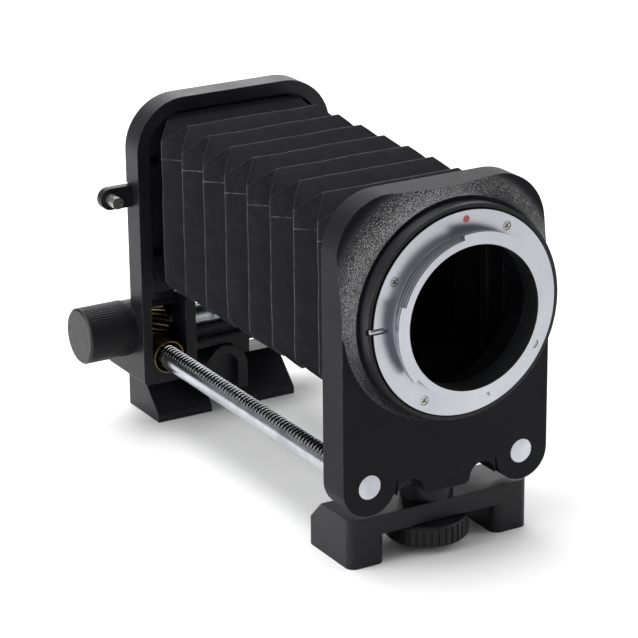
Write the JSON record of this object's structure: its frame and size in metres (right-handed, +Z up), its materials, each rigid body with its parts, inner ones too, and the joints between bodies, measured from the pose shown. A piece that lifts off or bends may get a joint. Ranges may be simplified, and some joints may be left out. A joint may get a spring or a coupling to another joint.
{
  "type": "macro bellows unit",
  "caption": "Camera and lens standards on twin rods with rack focus, a folding bellows between them, bayonet ring, knobs and feet.",
  "frame": {"origin": "on the optical axis, in the face of the chrome flange that seats against the camera", "axes": "+Y along the optical axis from the camera towards the lens, +Z up, +X to the right seen from the camera"},
  "size_m": [0.104, 0.1818, 0.1202],
  "materials": {
    "satin_black_paint": "satin black stoved paint",
    "crinkle_black_paint": "satin and crinkle black paint",
    "satin_chrome": "satin chrome plate",
    "bright_chrome": "bright chrome plate",
    "steel": "turned steel",
    "brass": "machined brass, slightly dull",
    "black_plastic": "black moulded plastic",
    "cloth": "black coated bellows cloth with worn folds",
    "red_enamel": "red enamel"
  },
  "bodies": {
    "camera_side": {"camera_standard": "crinkle_black_paint", "mount_collar": "satin_black_paint", "camera_bayonet": "satin_chrome", "mount_screws": "steel", "index_dot": "red_enamel", "lock_pin": "bright_chrome", "rack_rod": "bright_chrome", "plain_rod": "bright_chrome", "rod_grub_screws": "steel", "rod_stops": "steel", "camera_bellows_frame": "satin_black_paint", "camera_frame_screws": "steel", "bellows": "cloth", "camera_foot": "satin_black_paint"},
    "clamp_seat": {"clamp_washer": "steel"},
    "clamp": {"thumb_wheel": "black_plastic", "clamp_stud": "steel"},
    "lens_side": {"lens_standard": "satin_black_paint", "left_rod_block": "satin_black_paint", "right_rod_block": "satin_black_paint", "block_bridge": "satin_black_paint", "rod_bushes": "brass", "lens_bellows_frame": "satin_black_paint", "lens_frame_screws": "steel", "lens_bayonet": "satin_chrome", "lens_mount_screws": "steel", "lens_index_dot": "red_enamel", "lens_foot": "satin_black_paint", "lens_foot_screws": "steel", "tab_screw": "steel"},
    "focus_drive": {"pinion_gear": "brass", "pinion_shaft": "steel", "focus_knob": "black_plastic", "knob_grub_screw": "steel", "tension_nut": "bright_chrome"},
    "release": {"release_tab": "satin_black_paint", "tab_stud": "steel", "release_spring": "steel"},
    "lock_seat": {"lock_pad": "brass"},
    "lock": {"lock_knob": "black_plastic"}
  },
  "joints": [
    {"name": "focus_slide", "type": "slide", "parent": "camera_side", "child": "lens_side", "axis": [0, 1, 0], "range_m": [-0.08, 0], "deforming": ["bellows"]},
    {"name": "focus_turn", "type": "hinge", "parent": "lens_side", "child": "focus_drive", "pos_m": [-0.028, 0.1565, -0.0456], "axis": [1, 0, 0], "range_deg": [-1, 850]},
    {"name": "release_pull", "type": "slide", "parent": "lens_side", "child": "release", "axis": [1, 0, 0], "range_m": [-0.0022, 0], "stiffness_N_per_m": 900, "springref_m": 0.0008, "deforming": ["release_spring"]},
    {"name": "clamp_travel", "type": "slide", "parent": "camera_side", "child": "clamp_seat", "axis": [0, 0, 1], "range_m": [-0.002, 0]},
    {"name": "clamp_turn", "type": "hinge", "parent": "clamp_seat", "child": "clamp", "pos_m": [0, 0.0216, -0.0768], "axis": [0, 0, 1], "range_deg": [-1, 568]},
    {"name": "lock_travel", "type": "slide", "parent": "lens_side", "child": "lock_seat", "axis": [1, 0, 0], "range_m": [-0.0002, 0]},
    {"name": "lock_turn", "type": "hinge", "parent": "lock_seat", "child": "lock", "pos_m": [0.0447, 0.1608, -0.0545], "axis": [1, 0, 0], "range_deg": [-104, 1]}
  ],
  "couplings": [
    {"joint": "focus_turn", "follows": "focus_slide", "rad_per_m": -185.19},
    {"joint": "clamp_turn", "follows": "clamp_travel", "rad_per_m": -4947.4},
    {"joint": "lock_turn", "follows": "lock_travel", "rad_per_m": 8976}
  ]
}
